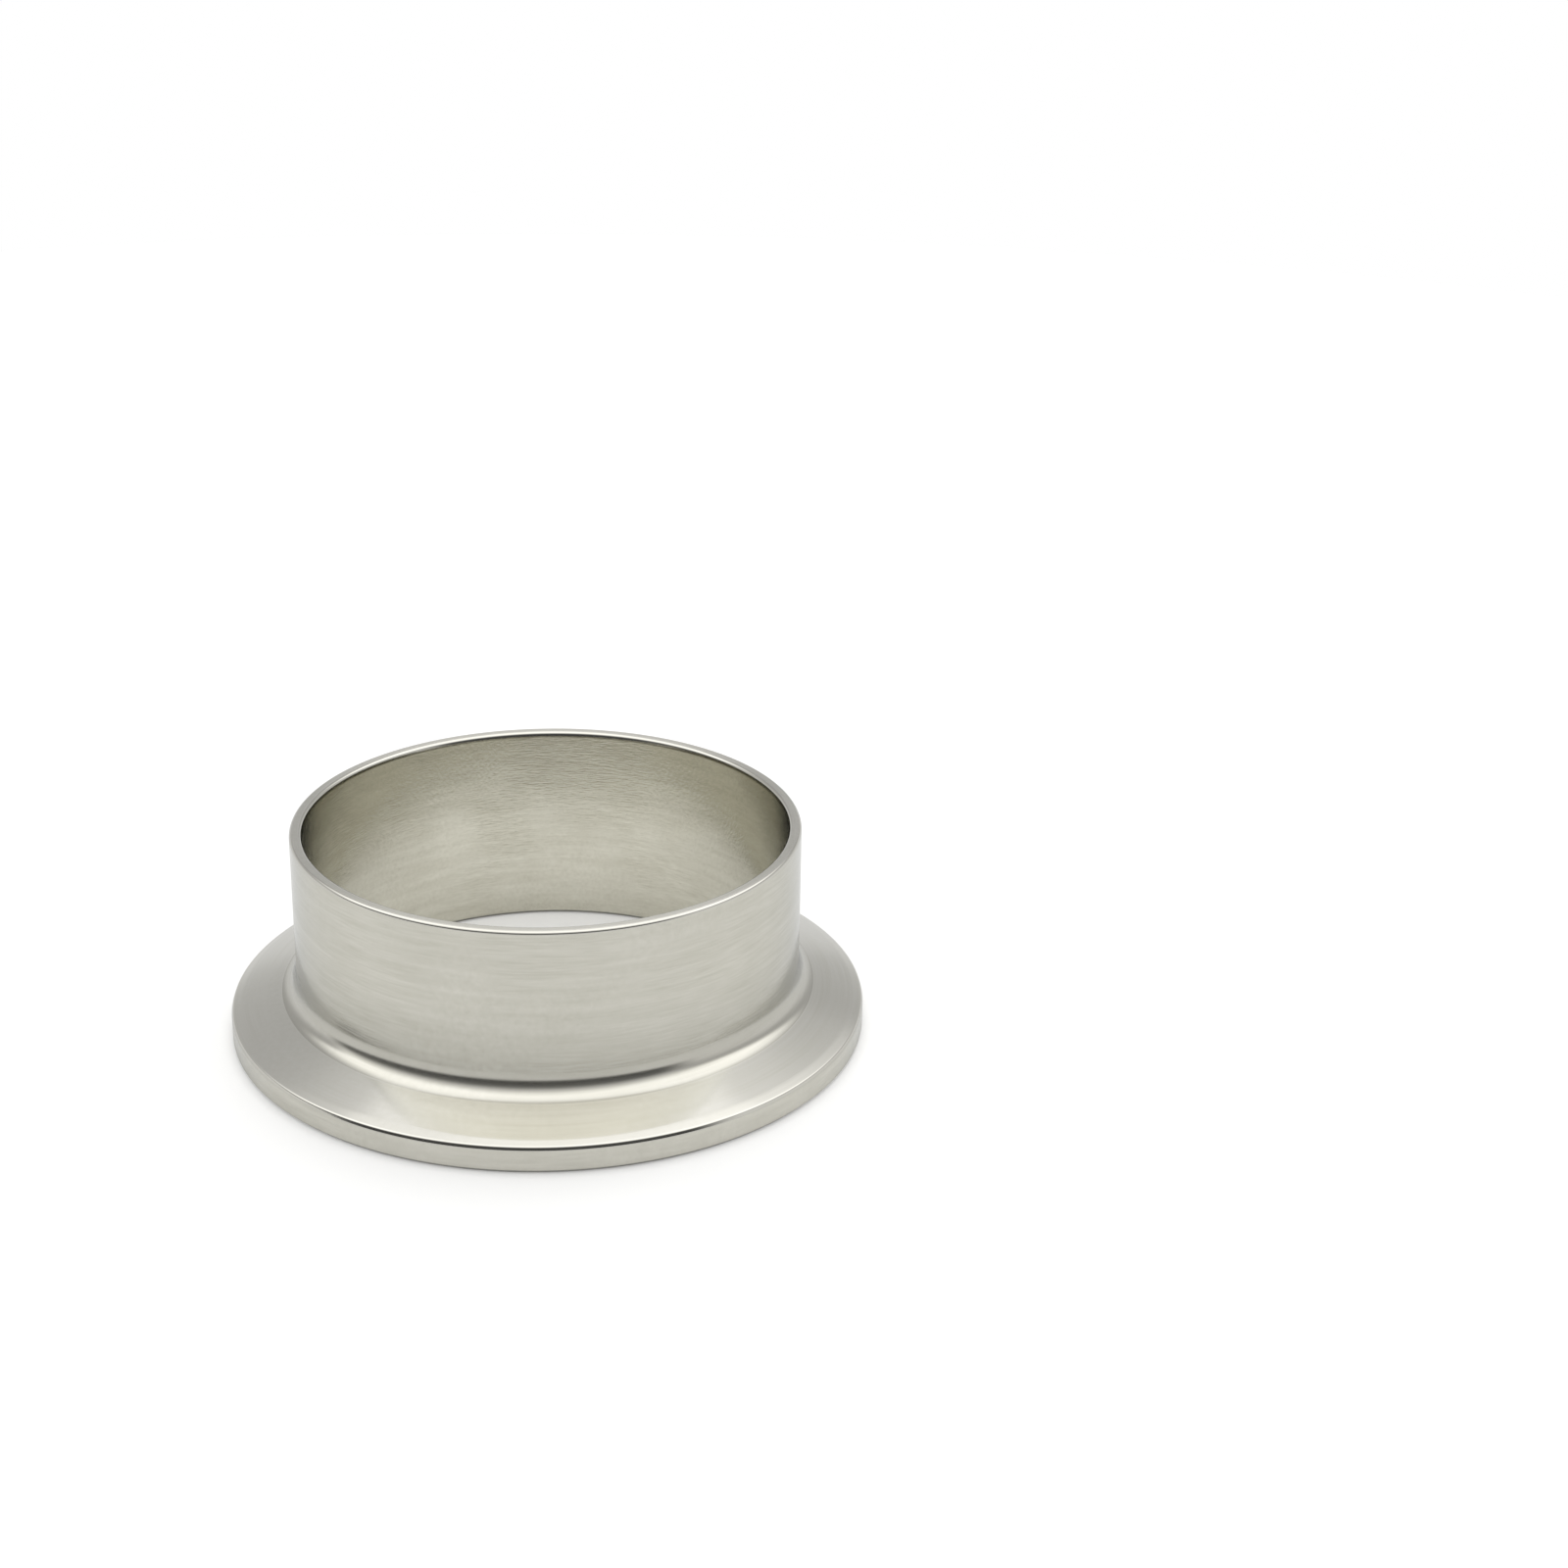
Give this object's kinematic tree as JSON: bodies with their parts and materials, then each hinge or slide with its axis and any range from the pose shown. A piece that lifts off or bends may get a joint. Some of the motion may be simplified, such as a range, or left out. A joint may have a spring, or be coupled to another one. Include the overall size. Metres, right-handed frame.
{
  "type": "sanitary clamp ferrule",
  "caption": "Short turned ferrule: a thin tube end on a round clamp flange, with a sloped shoulder behind and a gasket groove in the flat face.",
  "frame": {"origin": "centre of the bore in the plane of the gasket face, which the ferrule stands on", "axes": "+Z along the bore, from the gasket face up to the weld end; +X and +Y are any two square directions across it, as the part is round"},
  "size_m": [0.064, 0.064, 0.0215],
  "materials": {
    "stainless_steel": "turned and satin polished"
  },
  "bodies": {
    "root": {"ferrule": "stainless_steel"}
  },
  "joints": []
}
